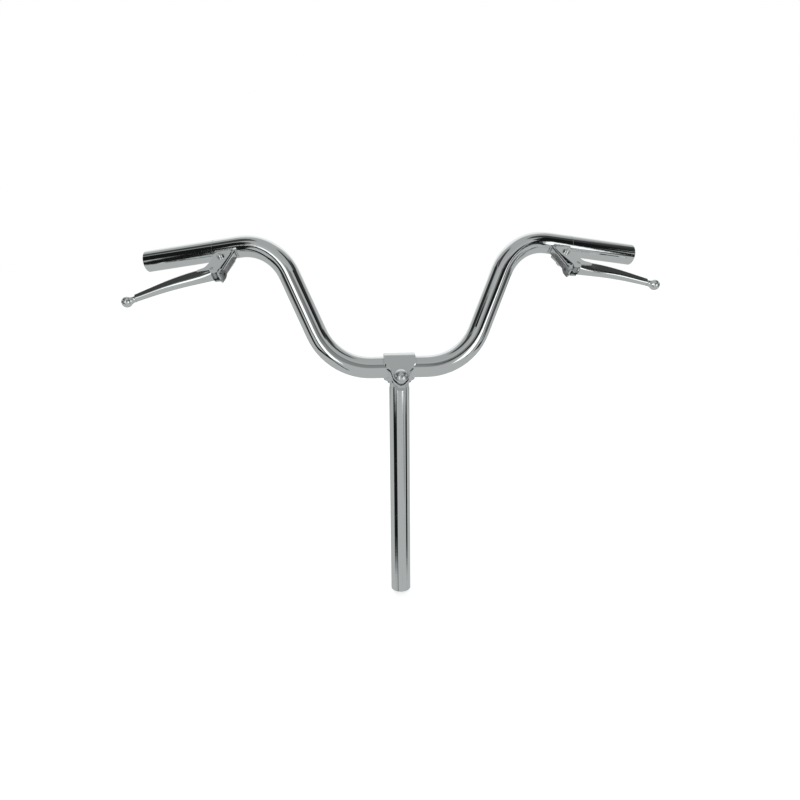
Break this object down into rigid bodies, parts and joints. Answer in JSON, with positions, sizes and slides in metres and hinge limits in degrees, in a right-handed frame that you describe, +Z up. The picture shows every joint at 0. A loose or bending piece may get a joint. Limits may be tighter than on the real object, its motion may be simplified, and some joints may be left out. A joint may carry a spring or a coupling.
{
  "type": "handlebar",
  "caption": "High-rise chromed moped handlebar: bent tube strap-clamped on a plain stem post, with welded perches and hinged ball-end brake levers.",
  "frame": {"origin": "centre of the stem's lower end", "axes": "+X to the right-hand lever, +Y back to the rider, +Z up along the stem"},
  "size_m": [0.563, 0.1209, 0.3839],
  "materials": {
    "tube_chrome": "mirror chrome plate on a drawn steel tube",
    "stem_chrome": "mirror chrome plate with light sliding marks",
    "strap_chrome": "chrome plate on pressed strip, slightly softer than the tube",
    "perch_chrome": "chrome plate on pressed sheet",
    "lever_chrome": "chrome plate on pressed sheet",
    "ball_chrome": "polished chrome",
    "weld_chrome": "plated weld bead, rippled",
    "bolt_chrome": "polished chrome",
    "screw_chrome": "chrome plate, turned",
    "zinc_steel": "bright zinc plate",
    "stop_steel": "turned steel, plated",
    "anchor_steel": "turned steel, plated",
    "bush_steel": "turned steel"
  },
  "bodies": {
    "stem": {"stem_tube": "stem_chrome", "stem_weld": "weld_chrome", "clamp_strap": "strap_chrome", "clamp_bolt": "bolt_chrome", "clamp_washer": "zinc_steel", "clamp_nut": "zinc_steel"},
    "bar": {"handlebar_tube": "tube_chrome", "left_perch": "perch_chrome", "left_perch_weld": "weld_chrome", "left_cable_stop": "stop_steel", "left_pivot_screw": "screw_chrome", "left_pivot_bush": "bush_steel", "left_pivot_shims": "bush_steel", "left_pivot_nut": "zinc_steel", "right_perch": "perch_chrome", "right_perch_weld": "weld_chrome", "right_cable_stop": "stop_steel", "right_pivot_screw": "screw_chrome", "right_pivot_bush": "bush_steel", "right_pivot_shims": "bush_steel", "right_pivot_nut": "zinc_steel"},
    "left_lever": {"left_brake_lever": "lever_chrome", "left_lever_ball": "ball_chrome", "left_cable_anchor": "anchor_steel"},
    "right_lever": {"right_brake_lever": "lever_chrome", "right_lever_ball": "ball_chrome", "right_cable_anchor": "anchor_steel"}
  },
  "joints": [
    {"name": "bar_tilt", "type": "hinge", "parent": "stem", "child": "bar", "pos_m": [0, -0.004, 0.253], "axis": [1, 0, 0], "range_deg": [-20, 20]},
    {"name": "right_lever_pull", "type": "hinge", "parent": "bar", "child": "right_lever", "pos_m": [0.17764, 0.03735, 0.3593], "axis": [0.252, -0.5128, 0.8207], "range_deg": [-8, 14]},
    {"name": "left_lever_pull", "type": "hinge", "parent": "bar", "child": "left_lever", "pos_m": [-0.17764, 0.03735, 0.3593], "axis": [0.252, 0.5128, -0.8207], "range_deg": [0, 22]}
  ]
}
